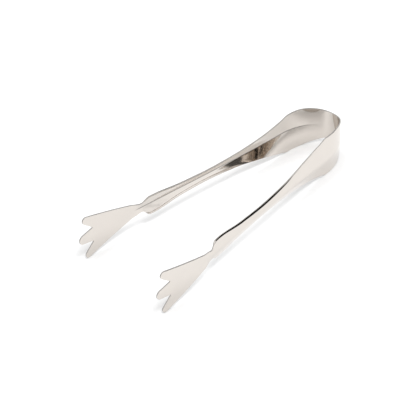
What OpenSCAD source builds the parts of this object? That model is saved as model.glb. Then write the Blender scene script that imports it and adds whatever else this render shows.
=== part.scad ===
// Spring ice tongs: one creased stainless strip bent round a bow, with a three-finger claw on each end.
// The tongs lie on one long edge. +X runs from the bow to the claws, +Y to the left arm, +Z along the
// strip's width. The origin is the centre of the bow's end curve, at mid width. Sizes are in millimetres.
// "Along the strip" distances start at the middle of the bow and run out to each claw.

/* [Sheet] */
// Thickness of the stainless sheet
sheet = 0.8; // [0.6:0.1:1.2]

/* [Bow] */
// Mid-surface radius of the bow's end curve
end_radius = 10.1; // [9.5:0.1:11.5]
// Half of the angle that the end curve covers
end_half_angle = 43; // [38:1:48]
// Mid-surface radius of the bow's sides
side_radius = 34.7; // [32:0.1:38]
// Angle that the strip has turned through where the side curve ends
side_end_angle = 86; // [84:0.5:88]
// Strip width at the middle of the bow
end_width = 18.2; // [17:0.1:20]
// Radius of the hollow in the long edges at the middle of the bow, seen from the end
end_edge_radius = 20; // [18:0.5:26]
// Strip width across the bow's flat resting edges, the widest place
shoulder_width = 26.6; // [24:0.2:28]
// Where the flat resting edge starts, along the strip
land_start = 25.5; // [23:0.5:28]
// Where the flat resting edge ends, along the strip
land_end = 31; // [29:0.5:34]
// Tilt of each flange in the end curve, in degrees
end_fold = 1.5; // [0.5:0.5:4]

/* [Arms] */
// Radius of the arm's slight outward bend next to the bow
arm_bow_radius = 1400; // [1000:50:3000]
// Length of that bend
arm_bow_length = 61; // [50:1:70]
// Length of the straight stretch from there to the neck
straight_length = 42.5; // [38:0.5:46]
// Strip width 38 mm along the strip
width_38 = 22.6; // [20:0.1:24]
// Strip width 52 mm along the strip
width_52 = 15.7; // [13:0.1:17]
// Strip width 72 mm along the strip
width_72 = 9.4; // [8:0.1:11]
// Strip width 92 mm along the strip, the waist
width_92 = 7.5; // [6:0.1:9]
// Strip width 110 mm along the strip
width_110 = 8.8; // [7:0.1:11]
// Strip width at the flange ends
flange_end_width = 12.5; // [11:0.1:14]
// Where the flanges end, along the strip
flange_end = 132.2; // [128:0.1:134]
// Steepest tilt of each flange, reached 60 mm along the strip, in degrees
arm_fold = 20; // [16:1:24]
// Tilt of each flange where the flanges end, in degrees
flange_end_fold = 15; // [8:1:20]
// Depth of the lip that is rolled in along the flange edges
lip_depth = 1.6; // [0.5:0.1:2]
// How sharply the lip rolls in, per millimetre
lip_roll = 0.14; // [0:0.01:0.2]

/* [Claws] */
// Mid-surface radius of the claw's inward curve
claw_radius = 310; // [250:10:500]
// Width of the neck
neck_width = 5.9; // [5.5:0.1:7.5]
// Where the claw plate starts, along the strip
claw_start = 143; // [142:0.5:145]
// Width of the claw plate where it starts
claw_root_width = 9.8; // [9:0.2:11]
// Flare of the claw's outer edges, in degrees
claw_flare = 17.3; // [14:0.1:20]
// Where the outer fingertips' round centres lie, along the strip
tip_at = 172.6; // [170:0.1:175]
// Radius of the outer fingertips
tip_radius = 2.2; // [1.6:0.1:2.4]
// Slope of the outer fingers' inner edges, in degrees
notch_slope = 43.5; // [41:0.5:48]
// Radius at the bottom of each notch
notch_radius = 0.4; // [0.3:0.1:0.8]
// Where the notch bottoms' round centres lie, along the strip
notch_at = 169; // [167:0.1:170]
// Where the middle fingertip's round centre lies, along the strip
nose_at = 175.1; // [173:0.1:177]
// Radius of the middle fingertip
nose_radius = 2.95; // [2:0.05:3.5]

/* [Bending places] */
// Where the shoulder meets the arm, along the strip
arm_start = 50; // [45:1:60]
// Clearance left at each bending place
cut = 0.02; // [0.01:0.01:0.1]

/* [Hidden] */
$fn = 180;
DEG = 180 / PI;
LEFT = 1;
RIGHT = -1;
steel = [0.76, 0.75, 0.73];

// ---- Centre line of the left half: end curve, side curve, outward bend, straight arm, claw curve ----
// Headings are in degrees from +Y towards +X.
function turned(length, radius) = length / radius * DEG;
function normal(angle) = [-cos(angle), sin(angle)];

arm_angle = side_end_angle - turned(arm_bow_length, arm_bow_radius);

// where each stretch ends, along the strip
end_stop = end_radius * end_half_angle / DEG;
side_stop = end_stop + side_radius * (side_end_angle - end_half_angle) / DEG;
bend_stop = side_stop + arm_bow_length;
straight_stop = bend_stop + straight_length;

// centres of the curves, and the straight stretch's first point
side_centre = (end_radius - side_radius) * normal(end_half_angle);
bend_centre = side_centre + (side_radius + arm_bow_radius) * normal(side_end_angle);
straight_origin = bend_centre - arm_bow_radius * normal(arm_angle);
arm_direction = [sin(arm_angle), cos(arm_angle)];
claw_centre = straight_origin + straight_length * arm_direction - claw_radius * normal(arm_angle);

function heading(at) =
    at <= end_stop ? turned(at, end_radius) :
    at <= side_stop ? end_half_angle + turned(at - end_stop, side_radius) :
    at <= bend_stop ? side_end_angle - turned(at - side_stop, arm_bow_radius) :
    at <= straight_stop ? arm_angle :
    arm_angle + turned(at - straight_stop, claw_radius);
function outward(at) = normal(heading(at));
function centre(at) =
    at <= end_stop ? end_radius * outward(at) :
    at <= side_stop ? side_centre + side_radius * outward(at) :
    at <= bend_stop ? bend_centre - arm_bow_radius * outward(at) :
    at <= straight_stop ? straight_origin + (at - bend_stop) * arm_direction :
    claw_centre + claw_radius * outward(at);

// ---- Smooth curves through stations [along the strip, value, slope] ----
function hermite(from, to, at) =
    let (
        span = to[0] - from[0],
        t = (at - from[0]) / span,
        t2 = t * t,
        t3 = t2 * t
    )
    from[1] * (2 * t3 - 3 * t2 + 1) + from[2] * span * (t3 - 2 * t2 + t)
    + to[1] * (3 * t2 - 2 * t3) + to[2] * span * (t3 - t2);
function along(list, at, i = 0) =
    at <= list[0][0] ? list[0][1] :
    i >= len(list) - 1 ? list[len(list) - 1][1] :
    at <= list[i + 1][0] ? hermite(list[i], list[i + 1], at) :
    along(list, at, i + 1);

// slope at station i: harmonic mean of the slopes either side, or flat at a peak or dip
function rise(list, i) = (list[i + 1][1] - list[i][1]) / (list[i + 1][0] - list[i][0]);
function mean_slope(list, i) =
    let (before = rise(list, i - 1), after = rise(list, i))
    before * after <= 0 ? 0 : 2 * before * after / (before + after);

// half width and its slope where the end curve's hollow edge stops
hollow_y = end_radius * sin(end_half_angle);
hollow_drop = sqrt(end_edge_radius * end_edge_radius - hollow_y * hollow_y);
crown_edge = end_width / 2 + end_edge_radius - hollow_drop;
crown_edge_slope = hollow_y / hollow_drop * cos(end_half_angle);

// half widths of the arm: [along the strip, half width]
waist = [
    [land_end, shoulder_width / 2],
    [38, width_38 / 2],
    [52, width_52 / 2],
    [72, width_72 / 2],
    [92, width_92 / 2],
    [110, width_110 / 2],
    [flange_end - 1.5, flange_end_width / 2]
];

root_edge = claw_root_width / 2;
flare_lead = 4.5; // length of flaring edge between the neck and the claw
lip_end = flange_end - 1; // the lip and the flanges start to fade here

// half width: [along the strip, half width, slope]
width_stations = concat(
    [
        [end_stop, crown_edge, crown_edge_slope],
        [land_start, shoulder_width / 2, 0],
        [land_end, shoulder_width / 2, 0]
    ],
    [for (i = [1:len(waist) - 2]) [waist[i][0], waist[i][1], mean_slope(waist, i)]],
    [
        [lip_end, flange_end_width / 2, -0.08],
        [flange_end + 2.8, neck_width / 2 + 0.2, -0.6],
        [flange_end + 4, neck_width / 2, 0],
        [claw_start - flare_lead, root_edge - flare_lead * tan(claw_flare), tan(claw_flare) * 0.9],
        [claw_start, root_edge, tan(claw_flare)]
    ]
);
function edge(at) = along(width_stations, at);

// flange tilt: [along the strip, tangent of the tilt, slope]
fold_stations = [
    [end_stop, tan(end_fold), 0],
    [22, tan(6), 0.008],
    [36, tan(13), 0.008],
    [60, tan(arm_fold), 0],
    [lip_end, tan(flange_end_fold), -0.003],
    [flange_end + 5, tan(flange_end_fold - 2.5), -0.02],
    [claw_start - 0.5, 0, 0]
];
function fold(at) = along(fold_stations, at);

// lip: [along the strip, roll per millimetre, slope]
lip_stations = [[50, 0, 0], [92, lip_roll, 0], [lip_end, lip_roll, 0], [flange_end + 3, 0, 0]];
function lip(at) = along(lip_stations, at);

// ---- Cross-section ----
// how far height z reaches into the lip
function lip_reach(at, z) = max(0, abs(z) - (edge(at) - lip_depth));
// inward set of the mid surface at height z, and its slope there
function inset(at, z) = fold(at) * abs(z) + lip(at) * pow(lip_reach(at, z), 2);
function tilt(at, z) = fold(at) + 2 * lip(at) * lip_reach(at, z);
// half thickness, measured square to the strip
function half_thickness(slant) = sheet / 2 * sqrt(1 + slant * slant);

// heights of one section's points, lower edge to upper edge
rows = 11;
function heights(at) =
    let (
        top = edge(at),
        lip_foot = top - lip_depth,
        upper = [lip_foot / 2, lip_foot, top - 0.85, top - 0.4, top]
    )
    concat([for (i = [len(upper) - 1:-1:0]) -upper[i]], [0], upper);

// a point on the outer (face = 1) or inner (face = -1) face
function face_point(at, z, face, side) =
    let (p = centre(at) + (face * half_thickness(tilt(at, z)) - inset(at, z)) * outward(at))
    [p[0], side * p[1], z];
// up the outer face, then down the inner face
function section(at, side) =
    let (levels = heights(at))
    concat(
        [for (z = levels) face_point(at, z, 1, side)],
        [for (i = [rows - 1:-1:0]) face_point(at, levels[i], -1, side)]
    );

// Stations from start through stretches [where it ends, step], each stretch evenly divided
function stations(start, stretches) = concat([start], [
    for (i = [0:len(stretches) - 1])
        let (
            from = i == 0 ? start : stretches[i - 1][0],
            length = stretches[i][0] - from,
            count = ceil(length / stretches[i][1])
        )
        for (j = [1:count]) from + length * j / count
]);

// A closed stretch of the strip through the given stations
module strip(places, side) {
    ring = 2 * rows;
    last = len(places) - 1;
    points = [for (at = places) each section(at, side)];
    skin = [
        for (i = [0:last - 1])
            for (j = [0:ring - 1])
                let (
                    this = i * ring,
                    next = this + ring,
                    k = (j + 1) % ring
                )
                each [[this + j, next + j, this + k], [this + k, next + j, next + k]]
    ];
    // each end is a ladder of quads between the outer and the inner face
    ends = [
        for (i = [0, last])
            for (j = [0:rows - 2])
                let (
                    outer = i * ring + j,
                    inner = i * ring + ring - 1 - j
                )
                each i == 0
                    ? [[outer, outer + 1, inner - 1], [outer, inner - 1, inner]]
                    : [[outer, inner - 1, outer + 1], [outer, inner, inner - 1]]
    ];
    faces = concat(skin, ends);
    // mirroring in Y turns the faces inside out, so the right side reverses them
    polyhedron(
        points,
        side == LEFT ? faces : [for (f = faces) [f[0], f[2], f[1]]],
        convexity = 8
    );
}

// ---- Bow ----
module bow_crown() {
    lean = tan(end_fold);
    half = half_thickness(lean);
    top = crown_edge + 1;
    outer = end_radius + half;
    inner = end_radius - half;
    wedge_side = 30;
    wedge_corner = wedge_side * normal(end_half_angle);
    wedge_nose = 40;
    color(steel)
        difference() {
            intersection() {
                rotate_extrude()
                    polygon([
                        [outer, 0], [outer - lean * top, top], [inner - lean * top, top],
                        [inner, 0], [inner - lean * top, -top], [outer - lean * top, -top]
                    ]);
                // wedge that keeps the end curve only
                translate([cut / sin(end_half_angle), 0, -top - 1])
                    linear_extrude(2 * top + 2)
                        polygon([
                            [0, 0], wedge_corner, [-wedge_nose, 0],
                            [wedge_corner[0], -wedge_corner[1]]
                        ]);
            }
            // hollows in the two long edges
            for (k = [-1, 1])
                translate([-30, 0, k * (end_width / 2 + end_edge_radius)])
                    rotate([0, 90, 0])
                    cylinder(r = end_edge_radius, h = 40);
        }
}

module bow_shoulder(side)
    strip(stations(end_stop + cut, [[land_start, 1.5], [land_end, 1.4], [arm_start - cut, 1.7]]), side);

module left_bow_shoulder() {
    color(steel) bow_shoulder(LEFT);
}

module right_bow_shoulder() {
    color(steel) bow_shoulder(RIGHT);
}

// ---- Arms ----
module arm(side)
    strip(stations(
        arm_start + cut,
        [[70, 2.1], [lip_end, 3.1], [flange_end + 5, 0.5], [claw_start, 1]]
    ), side);

module left_arm() {
    color(steel) arm(LEFT);
}

module right_arm() {
    color(steel) arm(RIGHT);
}

// ---- Claws: flat outline [along the strip, z], cut from a curved plate ----
function arc(middle, radius, from, to, steps) = [
    for (i = [0:steps])
        let (angle = from + (to - from) * i / steps)
        middle + radius * [cos(angle), sin(angle)]
];

tip_z = root_edge + (tip_at - claw_start) * tan(claw_flare) - tip_radius / cos(claw_flare);
// the notch's round touches the outer finger's inner edge
notch_z = tip_z + (notch_at - tip_at) * tan(notch_slope)
    - (tip_radius + notch_radius) / cos(notch_slope);
// direction of the middle finger's straight edge, which touches the notch's round and the tip's
nose_gap = nose_at - notch_at;
finger_angle = atan2(-notch_z, nose_gap)
    + asin((nose_radius + notch_radius) / sqrt(nose_gap * nose_gap + notch_z * notch_z));

// upper half, from just behind the root to the middle fingertip
claw_half = concat(
    [[claw_start - 1, root_edge - tan(claw_flare)]],
    arc([tip_at, tip_z], tip_radius, 90 + claw_flare, notch_slope - 90, 12),
    arc([notch_at, notch_z], notch_radius, 90 + notch_slope, 270 + finger_angle, 9),
    arc([nose_at, 0], nose_radius, 90 + finger_angle, 0, 10)
);
claw_outline = concat(
    claw_half,
    [for (i = [len(claw_half) - 2:-1:0]) [claw_half[i][0], -claw_half[i][1]]]
);

// moves the children to a place on the centre line, with X along the strip
module place(at, side)
    translate([centre(at)[0], side * centre(at)[1], 0])
        rotate([0, 0, side * (90 - heading(at))])
        children();

module claw(side)
    difference() {
        curved_plate(side);
        // square end face where the arm joins
        place(claw_start, side)
            translate([-10, -5, -15])
            cube([10, 10, 30]);
    }

module curved_plate(side) {
    middle = (claw_start + nose_at) / 2;
    intersection() {
        translate([claw_centre[0], side * claw_centre[1], -20])
            difference() {
                cylinder(r = claw_radius + sheet / 2, h = 40, $fn = 360);
                translate([0, 0, -1])
                    cylinder(r = claw_radius - sheet / 2, h = 42, $fn = 360);
            }
        // outline seen square to the claw's middle, so lengths along the curve are foreshortened
        place(middle, side)
            rotate([90, 0, 0])
            linear_extrude(16, center = true)
                polygon([
                    for (p = claw_outline)
                        [claw_radius * sin(turned(p[0] - middle, claw_radius)), p[1]]
                ]);
    }
}

module left_claw() {
    color(steel) claw(LEFT);
}

module right_claw() {
    color(steel) claw(RIGHT);
}

bow_crown();
left_bow_shoulder();
right_bow_shoulder();
left_arm();
right_arm();
left_claw();
right_claw();
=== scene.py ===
"""Sheet-steel tongs: one creased strip bent into a bow, with two arms ending in three-fingered claws.

The bow's crown is at -x and the claws point to +x. The left arm is at +y, the right arm at -y, and
the strip's width runs along z, centred on z = 0. Shapes are worked out in millimetres: s is the
distance along the strip's centre line from the crown, n is the distance outward from it.
"""

import math
import bpy
import numpy as np
from mathutils import Matrix, Vector, geometry


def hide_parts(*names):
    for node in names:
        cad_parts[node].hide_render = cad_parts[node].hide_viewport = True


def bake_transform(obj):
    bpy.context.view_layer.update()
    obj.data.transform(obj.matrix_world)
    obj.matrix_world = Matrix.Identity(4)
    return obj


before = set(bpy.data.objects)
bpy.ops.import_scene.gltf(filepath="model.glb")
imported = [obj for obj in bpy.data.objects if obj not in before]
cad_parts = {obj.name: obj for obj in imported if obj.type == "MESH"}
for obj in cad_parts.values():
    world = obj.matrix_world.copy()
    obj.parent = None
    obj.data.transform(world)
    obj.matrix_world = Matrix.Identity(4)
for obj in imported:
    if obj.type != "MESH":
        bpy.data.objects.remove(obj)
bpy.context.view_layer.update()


MM = 0.001

# ---------------------------------------------------------------- the strip's path
CROWN_RADIUS, CROWN_TURN = 10.1, math.radians(43)
SHOULDER_RADIUS, SIDE_HEADING = 34.7, math.radians(86)
SIDE_RADIUS, SIDE_LENGTH = 1400.0, 61.0   # the side bends back slightly, spreading the arms
STRAIGHT_LENGTH = 42.5
STRAIGHT_HEADING = SIDE_HEADING - SIDE_LENGTH / SIDE_RADIUS
CLAW_RADIUS = 310.0                       # from the straight part's end on, curving inward

CROWN_END = CROWN_RADIUS * CROWN_TURN
SHOULDER_END = CROWN_END + SHOULDER_RADIUS * (SIDE_HEADING - CROWN_TURN)
SIDE_END = SHOULDER_END + SIDE_LENGTH
STRAIGHT_END = SIDE_END + STRAIGHT_LENGTH

SEAM = 27.0           # where the bow piece meets the arm piece
FLANGE_END = 132.2    # where the strip narrows sharply to the claw's neck
CLAW_ROOT = 143.0     # where the flat claw plate starts
HALF_THICK = 0.4

PATH_STEP = 0.05
PATH_FIRST, PATH_STOP = -800, 3641        # in steps from the crown
EASING_WINDOWS = (81, 61)                 # moving averages of the heading, in samples


def build_path():
    """Samples s, heading, x and y of the centre line, its turns eased as bent sheet has them."""
    s = np.arange(PATH_FIRST, PATH_STOP) * PATH_STEP
    dist = np.abs(s)
    turn = np.where(dist < STRAIGHT_END, STRAIGHT_HEADING,
                    STRAIGHT_HEADING + (dist - STRAIGHT_END) / CLAW_RADIUS)
    turn = np.where(dist < SIDE_END, SIDE_HEADING - (dist - SHOULDER_END) / SIDE_RADIUS, turn)
    turn = np.where(dist < SHOULDER_END, CROWN_TURN + (dist - CROWN_END) / SHOULDER_RADIUS, turn)
    turn = np.where(dist < CROWN_END, dist / CROWN_RADIUS, turn)
    turn = turn * np.sign(s)
    for size in EASING_WINDOWS:
        padded = np.pad(turn, size, mode="reflect", reflect_type="odd")
        turn = np.convolve(padded, np.ones(size) / size, mode="same")[size:-size]

    def integrate(rate):
        return np.concatenate([[0], np.cumsum((rate[1:] + rate[:-1]) / 2 * PATH_STEP)])

    x, y = integrate(np.sin(turn)), integrate(np.cos(turn))
    zero = int(np.argmin(np.abs(s)))
    x += -CROWN_RADIUS - x[zero]
    y -= y[zero]
    return s, turn, x, y


PATH_S, PATH_HEADING, PATH_X, PATH_Y = build_path()


def heading(s):
    """Angle of the strip from +y towards +x."""
    return np.interp(s, PATH_S, PATH_HEADING)


def outward(s):
    angle = heading(s)
    return np.stack([-np.cos(angle), np.sin(angle)], -1)


def tangent(s):
    angle = heading(s)
    return np.stack([np.sin(angle), np.cos(angle)], -1)


def centre(s):
    return np.stack([np.interp(s, PATH_S, PATH_X), np.interp(s, PATH_S, PATH_Y)], -1)


# ---------------------------------------------------------------- widths and folds along the strip
def tan_deg(degrees):
    return math.tan(math.radians(degrees))


def along(stations, s):
    """Smooth cubic through (s, value, slope) stations, held constant before and after them."""
    s = np.asarray(s, float)
    out = np.where(s <= stations[0][0], stations[0][1], stations[-1][1]).astype(float)
    for (s0, value0, slope0), (s1, value1, slope1) in zip(stations[:-1], stations[1:]):
        span = s1 - s0
        u = (s - s0) / span
        value = (value0 * (2 * u**3 - 3 * u * u + 1) + slope0 * span * (u**3 - 2 * u * u + u)
                 + value1 * (3 * u * u - 2 * u**3) + slope1 * span * (u**3 - u * u))
        out = np.where((s > s0) & (s <= s1), value, out)
    return out


def slope_at(points, i):
    """Slope at point i that keeps the curve from overshooting its neighbours."""
    before = (points[i][1] - points[i - 1][1]) / (points[i][0] - points[i - 1][0])
    after = (points[i + 1][1] - points[i][1]) / (points[i + 1][0] - points[i][0])
    return 0 if before * after <= 0 else 2 * before * after / (before + after)


CROWN_HALF_WIDTH = 9.1
CROWN_EDGE_RADIUS = 20.0   # the crown's edges are hollow arcs, seen along x
BOW_HALF_WIDTH = 13.3
FLANGE_HALF_WIDTH = 6.25
ROOT_HALF_WIDTH = 4.9
FLARE = 17.3               # degrees each side of the claw opens by
NECK_RUN = 4.5             # length of the flare ahead of the claw's root


def crown_edge(y):
    return CROWN_HALF_WIDTH + CROWN_EDGE_RADIUS - np.sqrt(CROWN_EDGE_RADIUS**2 - y * y)


CROWN_END_Y = CROWN_RADIUS * math.sin(CROWN_TURN)
CROWN_END_SLOPE = (CROWN_END_Y / math.sqrt(CROWN_EDGE_RADIUS**2 - CROWN_END_Y**2)
                   * math.cos(CROWN_TURN))

# s, half width
WAIST = [(31, BOW_HALF_WIDTH), (38, 11.3), (52, 7.85), (72, 4.7), (92, 3.75), (110, 4.4),
         (FLANGE_END - 1.5, FLANGE_HALF_WIDTH)]
# s, half width, slope
WIDTHS = [
    (CROWN_END, crown_edge(CROWN_END_Y), CROWN_END_SLOPE),
    (25.5, BOW_HALF_WIDTH, 0),
    (31, BOW_HALF_WIDTH, 0),
    *[(*WAIST[i], slope_at(WAIST, i)) for i in range(1, len(WAIST) - 1)],
    (FLANGE_END - 1, FLANGE_HALF_WIDTH, -0.08),
    (FLANGE_END + 2.8, 3.15, -0.6),
    (FLANGE_END + 4, 2.95, 0),
    (CLAW_ROOT - NECK_RUN, ROOT_HALF_WIDTH - NECK_RUN * tan_deg(FLARE), tan_deg(FLARE) * 0.9),
    (CLAW_ROOT, ROOT_HALF_WIDTH, tan_deg(FLARE)),
]
# s, tangent of each flange's angle, slope
FOLDS = [(CROWN_END, tan_deg(1.5), 0), (22, tan_deg(6), 0.008), (36, tan_deg(13), 0.008),
         (60, tan_deg(20), 0), (FLANGE_END - 1, tan_deg(15), -0.003),
         (FLANGE_END + 5, tan_deg(12.5), -0.02), (CLAW_ROOT - 0.5, 0, 0)]
# s, curl of the rolled lips (inset per squared height), slope
LIPS = [(50, 0, 0), (92, 0.14, 0), (FLANGE_END - 1, 0.14, 0), (FLANGE_END + 3, 0, 0)]
LIP_HEIGHT = 1.6


def half_width(s):
    s = np.asarray(s, float)
    y = CROWN_RADIUS * np.sin(np.minimum(np.abs(s), CROWN_END) / CROWN_RADIUS)
    return np.where(s < CROWN_END, crown_edge(y), along(WIDTHS, s))


def lip_rise(s, z):
    """How far height z reaches into the rolled lip."""
    return np.maximum(0, np.abs(z) - (half_width(s) - LIP_HEIGHT))


def inset(s, z, soft):
    """How far the sheet is set inward at height z: flanges, softened at the crease, and lips."""
    rise = lip_rise(s, z)
    return along(FOLDS, s) * np.sqrt(z * z + soft * soft) + along(LIPS, s) * rise * rise


def tilt(s, z, soft):
    """Slope of the inset over z."""
    return (along(FOLDS, s) * z / np.sqrt(z * z + soft * soft)
            + 2 * along(LIPS, s) * lip_rise(s, z) * np.sign(z))


# ---------------------------------------------------------------- one section of the strip
OUTER_CREASE_R, INNER_CREASE_R = 0.55, 0.22
OUTER_RIM_R, INNER_RIM_R = 0.20, 0.10            # rolled on the outside, nearly sharp inside
CREASE_ROWS = [0.0, 0.1, 0.22, 0.38, 0.6, 0.9]   # heights above the crease
MID_ROWS, MID_START, MID_MARGIN = 9, 1.2, 1.4    # count, first height, last one's depth
LIP_ROWS = [1.2, 0.95, 0.72, 0.52, 0.36]         # depths below the edge, on the outer face
ARC = 4                                          # segments in each rim rounding

N_FACE = 2 * (len(CREASE_ROWS) + MID_ROWS + len(LIP_ROWS) + 1) - 1
N_RIM = 2 * ARC + 1
N_LOOP = 2 * N_FACE + 2 * N_RIM


def half_rows(width, rim_r):
    """Heights from the crease to just inside the rim's rounding, for half a section."""
    top = width - rim_r
    mid = np.linspace(MID_START, width - MID_MARGIN, MID_ROWS)
    lip = [top - (depth - OUTER_RIM_R) for depth in LIP_ROWS]
    return np.array(CREASE_ROWS + list(mid) + lip + [top])


def both_halves(heights):
    return np.concatenate([-heights[:0:-1], heights])


def rim_profile():
    """The sheet's edge from outer to inner face: (past the edge, n, normal's n, normal's rest)."""
    quarter = [math.pi / 2 * i / ARC for i in range(ARC + 1)]
    outer = [(-OUTER_RIM_R + OUTER_RIM_R * math.sin(a),
              HALF_THICK - OUTER_RIM_R + OUTER_RIM_R * math.cos(a),
              math.cos(a), math.sin(a)) for a in quarter]
    middle = (0, (HALF_THICK - OUTER_RIM_R) * 0.35 + (-HALF_THICK + INNER_RIM_R) * 0.65, 0.0, 1.0)
    inner = [(-INNER_RIM_R + INNER_RIM_R * math.cos(a),
              -HALF_THICK + INNER_RIM_R - INNER_RIM_R * math.sin(a),
              -math.sin(a), math.cos(a)) for a in quarter]
    return outer + [middle] + inner


RIM_PROFILE = rim_profile()


def section_face(s, rim_r, soft, sign):
    """(n, z) points of the outer (sign 1) or inner (sign -1) face, from bottom to top."""
    z = both_halves(half_rows(float(half_width(s)), rim_r))
    m = tilt(s, z, soft)
    length = np.sqrt(1 + m * m)
    n = -inset(s, z, soft)
    return np.stack([n + sign * HALF_THICK / length, z + sign * HALF_THICK * m / length], -1)


def section_rim(s, sign):
    """(n, z) points of the top (sign 1) or bottom (sign -1) rim, from outer to inner face."""
    z = sign * float(half_width(s))
    m = float(tilt(s, np.array(z), OUTER_CREASE_R))
    normal = np.array([1, m]) / math.sqrt(1 + m * m)
    past = np.array([-m, 1]) / math.sqrt(1 + m * m) * sign
    base = np.array([-float(inset(s, np.array(z), OUTER_CREASE_R)), z])
    return np.array([base + past * a + normal * n for a, n, _, _ in RIM_PROFILE[1:-1]])


def section(s):
    """Closed loop of (n, z) points: up the outer face, over the top and down the inner face."""
    return np.concatenate([
        section_face(s, OUTER_RIM_R, OUTER_CREASE_R, 1),
        section_rim(s, 1),
        section_face(s, INNER_RIM_R, INNER_CREASE_R, -1)[::-1],
        section_rim(s, -1)[::-1]])


def is_rim(j):
    """True for the loop's quads that lie on a sheared edge."""
    top_start, top_end = N_FACE + ARC - 1, N_FACE + N_RIM - ARC + 2
    bottom = N_FACE + N_RIM + N_FACE
    return (top_start <= j < top_end
            or bottom + ARC - 2 <= j < bottom + N_RIM - ARC + 1)


def is_inner(j):
    """True for the loop's points on the inner side."""
    return N_FACE + ARC + 1 <= j < 2 * N_FACE + N_RIM + ARC


UV_LENGTH = 100   # mm of strip in one unit of texture
INNER_U = 10      # the inner side's texture is moved along by this


def strip_uv(s, z, inner):
    return (s / UV_LENGTH + (INNER_U if inner else 0), z / UV_LENGTH)


def section_3d(s, side):
    nz = section(s)
    p = centre(s) + nz[:, :1] * outward(s)
    return np.stack([p[:, 0], side * p[:, 1], nz[:, 1]], -1)


def section_with_normals(s, side):
    """A section's points and normals, from its own curve and its neighbours along the strip."""
    nearby = 0.05
    here = section_3d(s, side)
    lengthwise = section_3d(s + nearby, side) - section_3d(s - nearby, side)
    after, before = np.roll(here, -1, 0) - here, here - np.roll(here, 1, 0)
    after_length = np.linalg.norm(after, axis=1, keepdims=True)
    before_length = np.linalg.norm(before, axis=1, keepdims=True)
    around = after / after_length * before_length + before / before_length * after_length
    normals = np.cross(around, lengthwise) * side
    normals /= np.linalg.norm(normals, axis=1, keepdims=True)
    out = np.array([outward(s)[0], side * outward(s)[1], 0])
    if normals[N_FACE // 2] @ out < 0:
        normals = -normals
    return here, normals


# ---------------------------------------------------------------- mesh building
FACE_SLOT, EDGE_SLOT = 0, 1   # material slots
CELLS_PER_MM = 2000           # grid in which vertices are joined


def add_object(name, data):
    obj = bpy.data.objects.new(name, data)
    bpy.context.scene.collection.objects.link(obj)
    return obj


class Builder:
    """Collects vertices with normals and faces, joining vertices that lie at the same place."""

    def __init__(self):
        self.points, self.normals, self.uvs = [], [], []
        self.faces, self.flats, self.slots = [], [], []
        self.cells = {}

    def vert(self, p, normal, uv):
        # a quarter cell each way finds a match on either side of a cell's border
        x, y, z = (float(a) * CELLS_PER_MM for a in p)
        for i in (-0.25, 0.25):
            for j in (-0.25, 0.25):
                for k in (-0.25, 0.25):
                    found = self.cells.get((round(x + i), round(y + j), round(z + k)))
                    if found is not None:
                        return found
        self.cells[(round(x), round(y), round(z))] = len(self.points)
        self.points.append(np.asarray(p, float))
        self.normals.append(np.asarray(normal, float))
        self.uvs.append(uv)
        return len(self.points) - 1

    def face(self, corners, flat=None, slot=FACE_SLOT):
        """Adds a face; flat is a normal for all its corners instead of the vertices' own."""
        clean = [a for i, a in enumerate(corners) if a != corners[i - 1]]
        if len(set(clean)) < 3:
            return
        self.faces.append(clean)
        self.flats.append(flat)
        self.slots.append(slot)

    def wound_faces(self):
        """The faces, each wound so that its own normal agrees with its vertices' normals."""
        v, normals = np.array(self.points), np.array(self.normals)
        faces = []
        for f, flat in zip(self.faces, self.flats):
            if len(f) == 4:
                own = np.cross(v[f[2]] - v[f[0]], v[f[3]] - v[f[1]])
            else:
                own = np.cross(v[f[1]] - v[f[0]], v[f[2]] - v[f[0]])
            wanted = flat if flat is not None else normals[f].sum(0)
            faces.append(f if own @ wanted > 0 else f[::-1])
        return faces

    def make(self, name, materials):
        mesh = bpy.data.meshes.new(name)
        faces = self.wound_faces()
        mesh.from_pydata([tuple(p * MM) for p in self.points], [], faces)
        mesh.polygons.foreach_set("material_index", self.slots)
        mesh.polygons.foreach_set("use_smooth", [True] * len(faces))
        uv_layer = mesh.uv_layers.new(name="strip")
        corner_normals = []
        for f, flat in zip(faces, self.flats):
            for i in f:
                uv_layer.data[len(corner_normals)].uv = self.uvs[i]
                corner_normals.append(tuple(flat if flat is not None else self.normals[i]))
        mesh.normals_split_custom_set(corner_normals)
        for material in materials:
            mesh.materials.append(material)
        mesh.validate(clean_customdata=False)
        return add_object(name, mesh)


def cap(builder, ring, s, side, sign):
    """Closes a section, pairing the outer face and half of each rim with the inner face."""
    t = tangent(s)
    flat = np.array([t[0], side * t[1], 0]) * sign
    order = [ring[(i - N_RIM // 2) % N_LOOP] for i in range(N_LOOP)]
    for i in range(N_LOOP // 2 - 1):
        builder.face([order[i], order[i + 1], order[N_LOOP - 2 - i], order[N_LOOP - 1 - i]],
                     flat=flat)


def ribbon(builder, stations, side, close_end):
    """The strip through all stations, capped at its start and, if close_end, at its end."""
    previous = None
    for s in stations:
        points, normals = section_with_normals(s, side)
        ring = [builder.vert(points[j], normals[j], strip_uv(s, points[j][2], is_inner(j)))
                for j in range(N_LOOP)]
        if previous is None:
            cap(builder, ring, s, side, -1)
        else:
            for j in range(N_LOOP):
                k = (j + 1) % N_LOOP
                builder.face([previous[j], ring[j], ring[k], previous[k]],
                             slot=EDGE_SLOT if is_rim(j) else FACE_SLOT)
        previous = ring
    if close_end:
        cap(builder, previous, stations[-1], side, 1)


# ---------------------------------------------------------------- the claw plate
# centres (s) and radii of the outline's arcs
TIP_AT, TIP_R = 172.6, 2.25         # the outer fingertips
NOTCH_AT, NOTCH_R = 169.0, 0.35     # the notches between fingers
NOSE_AT, NOSE_R = 175.1, 2.95       # the middle fingertip
NOTCH_SLOPE = 43.5                  # degrees, of the edge from an outer tip to its notch
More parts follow.
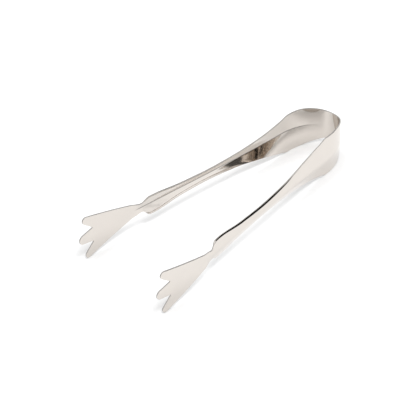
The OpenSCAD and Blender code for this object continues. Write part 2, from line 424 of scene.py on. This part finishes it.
# grid of points inside the plate's faces, kept clear of the outline
GRID_STEP_S, GRID_STEP_Z, GRID_END_S, GRID_Z, GRID_CLEAR = 0.9, 0.75, 178.0, 14.25, 0.55


def arc(middle, radius, start, end, count):
    """Points of an arc between two angles in degrees."""
    angles = [math.radians(start + (end - start) * i / count) for i in range(count + 1)]
    return [(middle[0] + radius * math.cos(a), middle[1] + radius * math.sin(a)) for a in angles]


def between(a, b, count):
    """Points that divide the line from a to b, without its ends."""
    return [(a[0] + (b[0] - a[0]) * i / count, a[1] + (b[1] - a[1]) * i / count)
            for i in range(1, count)]


def claw_outline():
    """(s, z) points and outward normals, from the claw's root round all three fingers and back."""
    tip_z = (ROOT_HALF_WIDTH + (TIP_AT - CLAW_ROOT) * tan_deg(FLARE)
             - TIP_R / math.cos(math.radians(FLARE)))
    notch_z = (tip_z + (NOTCH_AT - TIP_AT) * tan_deg(NOTCH_SLOPE)
               - (TIP_R + NOTCH_R) / math.cos(math.radians(NOTCH_SLOPE)))
    gap = NOSE_AT - NOTCH_AT
    # angle of the line that touches both the notch's and the nose's arc
    nose_slope = math.degrees(math.atan2(-notch_z, gap)
                              + math.asin((NOSE_R + NOTCH_R) / math.hypot(gap, notch_z)))
    start = (CLAW_ROOT, ROOT_HALF_WIDTH)
    tip = arc((TIP_AT, tip_z), TIP_R, 90 + FLARE, NOTCH_SLOPE - 90, 16)
    notch = arc((NOTCH_AT, notch_z), NOTCH_R, 90 + NOTCH_SLOPE, 270 + nose_slope, 12)
    nose = arc((NOSE_AT, 0), NOSE_R, 90 + nose_slope, 0, 14)
    half = ([start] + between(start, tip[0], 28) + tip + between(tip[-1], notch[0], 7)
            + notch + between(notch[-1], nose[0], 8) + nose)
    points = np.array(half + [(s, -z) for s, z in half[-2::-1]])
    along_edge = np.gradient(points, axis=0)
    normals = np.stack([-along_edge[:, 1], along_edge[:, 0]], -1)
    normals /= np.linalg.norm(normals, axis=1, keepdims=True)
    normals[0], normals[-1] = (0, 1), (0, -1)
    return points, normals


def is_inside(x, z, polygon):
    a, b = polygon, np.roll(polygon, -1, 0)
    at_z = (b[:, 0] - a[:, 0]) * (z - a[:, 1]) / (b[:, 1] - a[:, 1] + 1e-12) + a[:, 0]
    crossed = ((a[:, 1] > z) != (b[:, 1] > z)) & (x < at_z)
    return bool(crossed.sum() % 2)


def claw_face_mesh(outline, rim_r):
    """Points and faces, in (s, z), of a claw face bounded by outline and the root's section."""
    root_z = both_halves(half_rows(float(half_width(CLAW_ROOT)), rim_r))[1:-1]
    loop = [tuple(q) for q in outline] + [(CLAW_ROOT, z) for z in root_z]
    polygon = np.array(loop)
    grid = [(s, z)
            for s in np.arange(CLAW_ROOT + GRID_STEP_S, GRID_END_S, GRID_STEP_S)
            for z in np.arange(-GRID_Z, GRID_Z + GRID_STEP_Z / 2, GRID_STEP_Z)
            if np.hypot(polygon[:, 0] - s, polygon[:, 1] - z).min() > GRID_CLEAR
            and is_inside(s, z, polygon)]
    edges = [(i, (i + 1) % len(loop)) for i in range(len(loop))]
    # 1: keep only what lies inside the outline
    result = geometry.delaunay_2d_cdt([Vector(q) for q in loop + grid], edges, [], 1, 1e-5)
    return result[0], result[2]


def claw_plate(builder, side):
    points, normals = claw_outline()

    def place(sz, n, normal_n, normal_sz):
        s, z = sz
        p = centre(s) + n * outward(s)
        flat = normal_n * outward(s) + normal_sz[0] * tangent(s)
        normal = np.array([flat[0], side * flat[1], normal_sz[1]])
        # only the rim's inner rounding and the inner face lie below n = -0.2
        return builder.vert((p[0], side * p[1], z), normal / np.linalg.norm(normal),
                            strip_uv(s, z, n < -0.2))

    rings = [[place(p + normal * past, n, normal_n, normal * normal_out)
              for p, normal in zip(points, normals)]
             for past, n, normal_n, normal_out in RIM_PROFILE]
    for r in range(len(rings) - 1):
        slot = EDGE_SLOT if ARC - 1 <= r < len(rings) - ARC + 1 else FACE_SLOT
        a, b = rings[r], rings[r + 1]
        for k in range(len(points) - 1):
            builder.face([a[k], a[k + 1], b[k + 1], b[k]], slot=slot)
    for sign, rim_r in ((1, OUTER_RIM_R), (-1, INNER_RIM_R)):
        face_points, faces = claw_face_mesh(points - normals * rim_r, rim_r)
        ids = [place(np.array(q), sign * HALF_THICK, sign, np.zeros(2)) for q in face_points]
        for f in faces:
            builder.face([ids[i] for i in f])


# ---------------------------------------------------------------- shader node helpers
def set_inputs(tree, node, inputs):
    """Links each input that is given a socket and sets the others' values."""
    for key, value in inputs.items():
        if isinstance(value, bpy.types.NodeSocket):
            tree.links.new(value, node.inputs[key])
        else:
            node.inputs[key].default_value = value


def add_node(tree, kind, inputs=None, **settings):
    node = tree.nodes.new("ShaderNode" + kind)
    for key, value in settings.items():
        setattr(node, key, value)
    set_inputs(tree, node, inputs or {})
    return node


def noise(tree, vector, scale, detail):
    inputs = {"Vector": vector, "Scale": scale, "Detail": detail}
    return add_node(tree, "TexNoise", inputs).outputs["Fac"]


def map_range(tree, value, start, end, low=0.0, high=1.0, kind="SMOOTHSTEP"):
    inputs = {"Value": value, "From Min": start, "From Max": end, "To Min": low, "To Max": high}
    return add_node(tree, "MapRange", inputs, interpolation_type=kind).outputs["Result"]


def mix(tree, a, b, factor, kind="RGBA"):
    inputs = {"A": a, "B": b, "Factor": factor}
    return add_node(tree, "Mix", inputs, data_type=kind).outputs["Result"]


def calculate(tree, operation, *values):
    inputs = dict(enumerate(values))
    return add_node(tree, "Math", inputs, operation=operation).outputs["Value"]


def bump(tree, height, strength, distance, **more):
    inputs = {"Height": height, "Strength": strength, "Distance": distance, **more}
    return add_node(tree, "Bump", inputs).outputs["Normal"]


def new_material(name):
    material = bpy.data.materials.new(name)
    material.use_nodes = True
    return material, material.node_tree, material.node_tree.nodes["Principled BSDF"]


# ---------------------------------------------------------------- materials
def painted_crease_shade(tree, uv):
    """1 on the thin line along the inner side of the crease where shade is painted into the colour,
    fading out at its ends.
    """
    part = add_node(tree, "SeparateXYZ", {"Vector": uv})
    u = part.outputs["X"]
    height = calculate(tree, "ABSOLUTE", part.outputs["Y"])
    line = map_range(tree, height, start=0.0046, end=0.0012)
    bow_end = map_range(tree, u, start=INNER_U + 0.10, end=INNER_U + 0.22)
    claw_end = map_range(tree, u, start=INNER_U + 1.41, end=INNER_U + 1.36)
    return calculate(tree, "MULTIPLY", calculate(tree, "MULTIPLY", line, bow_end), claw_end)


def polished():
    """Mirror-polished stainless: faint lines along the strip, light haze, very slight waviness, and
    painted shade as a dark line along the inner side of the crease.
    """
    material, tree, surface = new_material("stainless_polished")
    uv = add_node(tree, "UVMap", uv_map="strip").outputs["UV"]
    place = add_node(tree, "TexCoord").outputs["Object"]
    stretched = add_node(tree, "Mapping", {"Vector": uv, "Scale": (3, 190, 1)}).outputs["Vector"]
    lines = noise(tree, stretched, scale=9, detail=4)
    haze = noise(tree, place, scale=60, detail=5)
    hazy = map_range(tree, haze, start=0.3, end=0.75, low=0.025, high=0.065, kind="LINEAR")
    line_roughness = 0.025
    roughness = calculate(tree, "MULTIPLY_ADD", lines, line_roughness, hazy)
    tint = mix(tree, (0.675, 0.632, 0.590, 1), (0.715, 0.671, 0.627, 1), haze)
    # painted shade: a dark line along the inner side of the crease darkens the base colour, standing
    # in for the crease's shade
    crease_shade_strength = 0.8
    crease_shade = calculate(tree, "MULTIPLY", painted_crease_shade(tree, uv), crease_shade_strength)
    crease_shade_colour = (0.16, 0.15, 0.14, 1)
    waves = noise(tree, place, scale=45, detail=1)
    wavy = bump(tree, waves, strength=0.08, distance=0.00008)
    set_inputs(tree, surface, {
        "Metallic": 1.0,
        "Roughness": roughness,
        "Base Color": mix(tree, tint, crease_shade_colour, crease_shade),
        "Normal": bump(tree, lines, strength=0.05, distance=0.00001, Normal=wavy)})
    return material


def sheared():
    """The strip's cut edges: duller and darker than the faces, finely mottled."""
    material, tree, surface = new_material("stainless_edge")
    place = add_node(tree, "TexCoord").outputs["Object"]
    grain = noise(tree, place, scale=900, detail=3)
    set_inputs(tree, surface, {
        "Metallic": 1.0,
        "Base Color": mix(tree, (0.26, 0.25, 0.235, 1), (0.46, 0.44, 0.42, 1), grain),
        "Roughness": map_range(tree, grain, start=0, end=1, low=0.28, high=0.45, kind="LINEAR"),
        "Normal": bump(tree, grain, strength=0.3, distance=0.00003)})
    return material


def floor_white():
    """Matt white, but painted dark for glossy rays beyond 0.22 to 0.42 m from its origin: a painted
    reflection of a dark surround in the polished faces.
    """
    white, painted_reflection_dark = (0.90, 0.90, 0.90, 1), (0.06, 0.06, 0.06, 1)
    material, tree, surface = new_material("floor_white")
    surface.inputs["Base Color"].default_value = white
    reflected = add_node(tree, "LightPath").outputs["Is Glossy Ray"]
    place = add_node(tree, "TexCoord").outputs["Object"]
    distance = add_node(tree, "VectorMath", {0: place}, operation="LENGTH").outputs["Value"]
    beyond = map_range(tree, distance, start=0.22, end=0.42)
    # painted reflection: only glossy rays see the floor turn dark far from its origin
    painted_reflection_mask = calculate(tree, "MULTIPLY", beyond, reflected)
    set_inputs(tree, surface, {
        "Base Color": mix(tree, white, painted_reflection_dark, painted_reflection_mask),
        "Roughness": 0.9,
        "Specular IOR Level": 0.0})
    return material


# ---------------------------------------------------------------- the pieces
def spread(*runs):
    """Stations over adjoining (start, end, longest step) runs."""
    stations = []
    for start, end, step in runs:
        run = list(np.linspace(start, end, int(math.ceil((end - start) / step)) + 1))
        stations += run[1:] if stations else run
    return stations


def build_bow_half(side, name, materials):
    builder = Builder()
    ribbon(builder, spread((0, SEAM, 0.5)), side, close_end=True)
    bow = builder.make(name + "_bow_half", materials)
    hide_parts("bow_crown", name + "_bow_shoulder")
    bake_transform(bow)


def build_arm(side, name, materials):
    builder = Builder()
    stations = spread((SEAM, 60, 0.6), (60, FLANGE_END - 3, 0.9),
                      (FLANGE_END - 3, FLANGE_END + 6, 0.25), (FLANGE_END + 6, CLAW_ROOT, 0.4))
    ribbon(builder, stations, side, close_end=False)
    claw_plate(builder, side)
    arm = builder.make(name + "_arm_and_claw", materials)
    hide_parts(name + "_bow_shoulder", name + "_arm", name + "_claw")
    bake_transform(arm)


# ---------------------------------------------------------------- floor
# the tongs stand on both bow edges and both lower fingertips
BOW_CONTACT_X = 10.3
TIP_CONTACT_X, TIP_CONTACT_DEPTH = 154.0, 13.99
FLOOR_DEPTH = 13.33    # below the centre line, at the bow's contact
FLOOR_HALF_SIZE = 4.0  # metres


def build_floor():
    size = FLOOR_HALF_SIZE
    mesh = bpy.data.meshes.new("floor")
    mesh.from_pydata([(-size, -size, 0), (size, -size, 0), (size, size, 0), (-size, size, 0)],
                     [], [(0, 1, 2, 3)])
    floor = add_object("floor", mesh)
    slant = math.atan((TIP_CONTACT_DEPTH - BOW_HALF_WIDTH) / (TIP_CONTACT_X - BOW_CONTACT_X))
    floor.rotation_euler = (0, slant, 0)
    floor.location = (BOW_CONTACT_X * MM, 0, -FLOOR_DEPTH * MM)
    mesh.materials.append(floor_white())


# ---------------------------------------------------------------- light
TENT, TENT_OVERHEAD = 1.0, 1.15   # strengths that polished faces see
DIFFUSE_STRENGTH = 0.74           # strength that lights matt surfaces
# strength, azimuth, elevation, full within, gone beyond (degrees)
TENT_PATCHES = [
    (0.12, -112, 30.5, 3.5, 8),
    (0.06, -172, 42, 12, 20),
    (1.5, -44, 37, 9, 14),
    (1.3, 40, 24, 8, 12),
    (0.06, 58, 16, 5, 9),
    (1.6, 107, 7, 4, 8),
    (0.02, 143, 15, 16, 21),
]


def build_world():
    """A light tent, brighter overhead, with bright and dark patches in what polished faces see."""
    world = bpy.data.worlds.new("studio")
    bpy.context.scene.world = world
    world.use_nodes = True
    tree = world.node_tree
    direction = add_node(tree, "TexCoord").outputs["Generated"]
    upward = add_node(tree, "SeparateXYZ", {"Vector": direction}).outputs["Z"]
    overhead = map_range(tree, upward, start=0.25, end=0.60)
    seen = mix(tree, TENT, TENT_OVERHEAD, overhead, kind="FLOAT")
    for strength, azimuth, elevation, full, gone in TENT_PATCHES:
        a, e = math.radians(azimuth), math.radians(elevation)
        toward = Vector((math.cos(e) * math.cos(a), math.cos(e) * math.sin(a), math.sin(e)))
        closeness = add_node(tree, "VectorMath", {0: direction, 1: toward.normalized()},
                             operation="DOT_PRODUCT").outputs["Value"]
        patch = map_range(tree, closeness, start=math.cos(math.radians(gone)),
                          end=math.cos(math.radians(full)))
        seen = mix(tree, seen, strength, patch, kind="FLOAT")
    diffuse = add_node(tree, "LightPath").outputs["Is Diffuse Ray"]
    set_inputs(tree, tree.nodes["Background"], {
        "Strength": mix(tree, seen, DIFFUSE_STRENGTH, diffuse, kind="FLOAT"),
        "Color": (0.985, 0.993, 1.0, 1)})


def add_lamp(name, where, target, size, power):
    """Round area light that polished faces don't reflect."""
    data = bpy.data.lights.new(name, "AREA")
    data.shape = "DISK"
    data.size = size
    data.energy = power
    lamp = add_object(name, data)
    lamp.location = where
    lamp.rotation_mode = "QUATERNION"
    lamp.rotation_quaternion = (Vector(where) - Vector(target)).to_track_quat("Z", "Y")
    lamp.visible_glossy = False


# ---------------------------------------------------------------- camera
def build_camera():
    """Camera looking down on its target from a distance in metres."""
    azimuth, elevation, roll = (math.radians(a) for a in (136.812, 40.434, -2.069))
    target, distance = np.array([0.092727, 0.001209, 0.0]), 0.748158
    back = np.array([math.sin(azimuth) * math.cos(elevation),
                     -math.cos(azimuth) * math.cos(elevation), math.sin(elevation)])
    level = np.cross(-back, [0, 0, 1.0])
    level /= np.linalg.norm(level)
    upright = np.cross(level, -back)
    right = level * math.cos(roll) + upright * math.sin(roll)
    up = -level * math.sin(roll) + upright * math.cos(roll)
    data = bpy.data.cameras.new("camera")
    camera = add_object("camera", data)
    data.sensor_width = 36.0
    data.lens = 117.6594
    data.clip_start, data.clip_end = 0.01, 50
    where = target + distance * back
    camera.matrix_world = Matrix(
        [(right[i], up[i], back[i], where[i]) for i in range(3)] + [(0, 0, 0, 1)])
    bpy.context.scene.camera = camera


# ---------------------------------------------------------------- the scene
STEEL = [polished(), sheared()]   # in slot order: faces, edges
for side, name in ((1, "left"), (-1, "right")):
    build_bow_half(side, name, STEEL)
    build_arm(side, name, STEEL)
build_floor()
build_world()
add_lamp("key", where=(0.09, 0.36, 1.1), target=(0.07, 0, 0), size=0.45, power=6.4)
add_lamp("top", where=(0.05, -0.36, 1.1), target=(0.07, 0, 0), size=0.50, power=2.6)
build_camera()

scene = bpy.context.scene
scene.view_settings.view_transform = "Standard"
scene.view_settings.look = "None"
scene.cycles.max_bounces = 16
scene.cycles.glossy_bounces = 12
scene.cycles.diffuse_bounces = 6
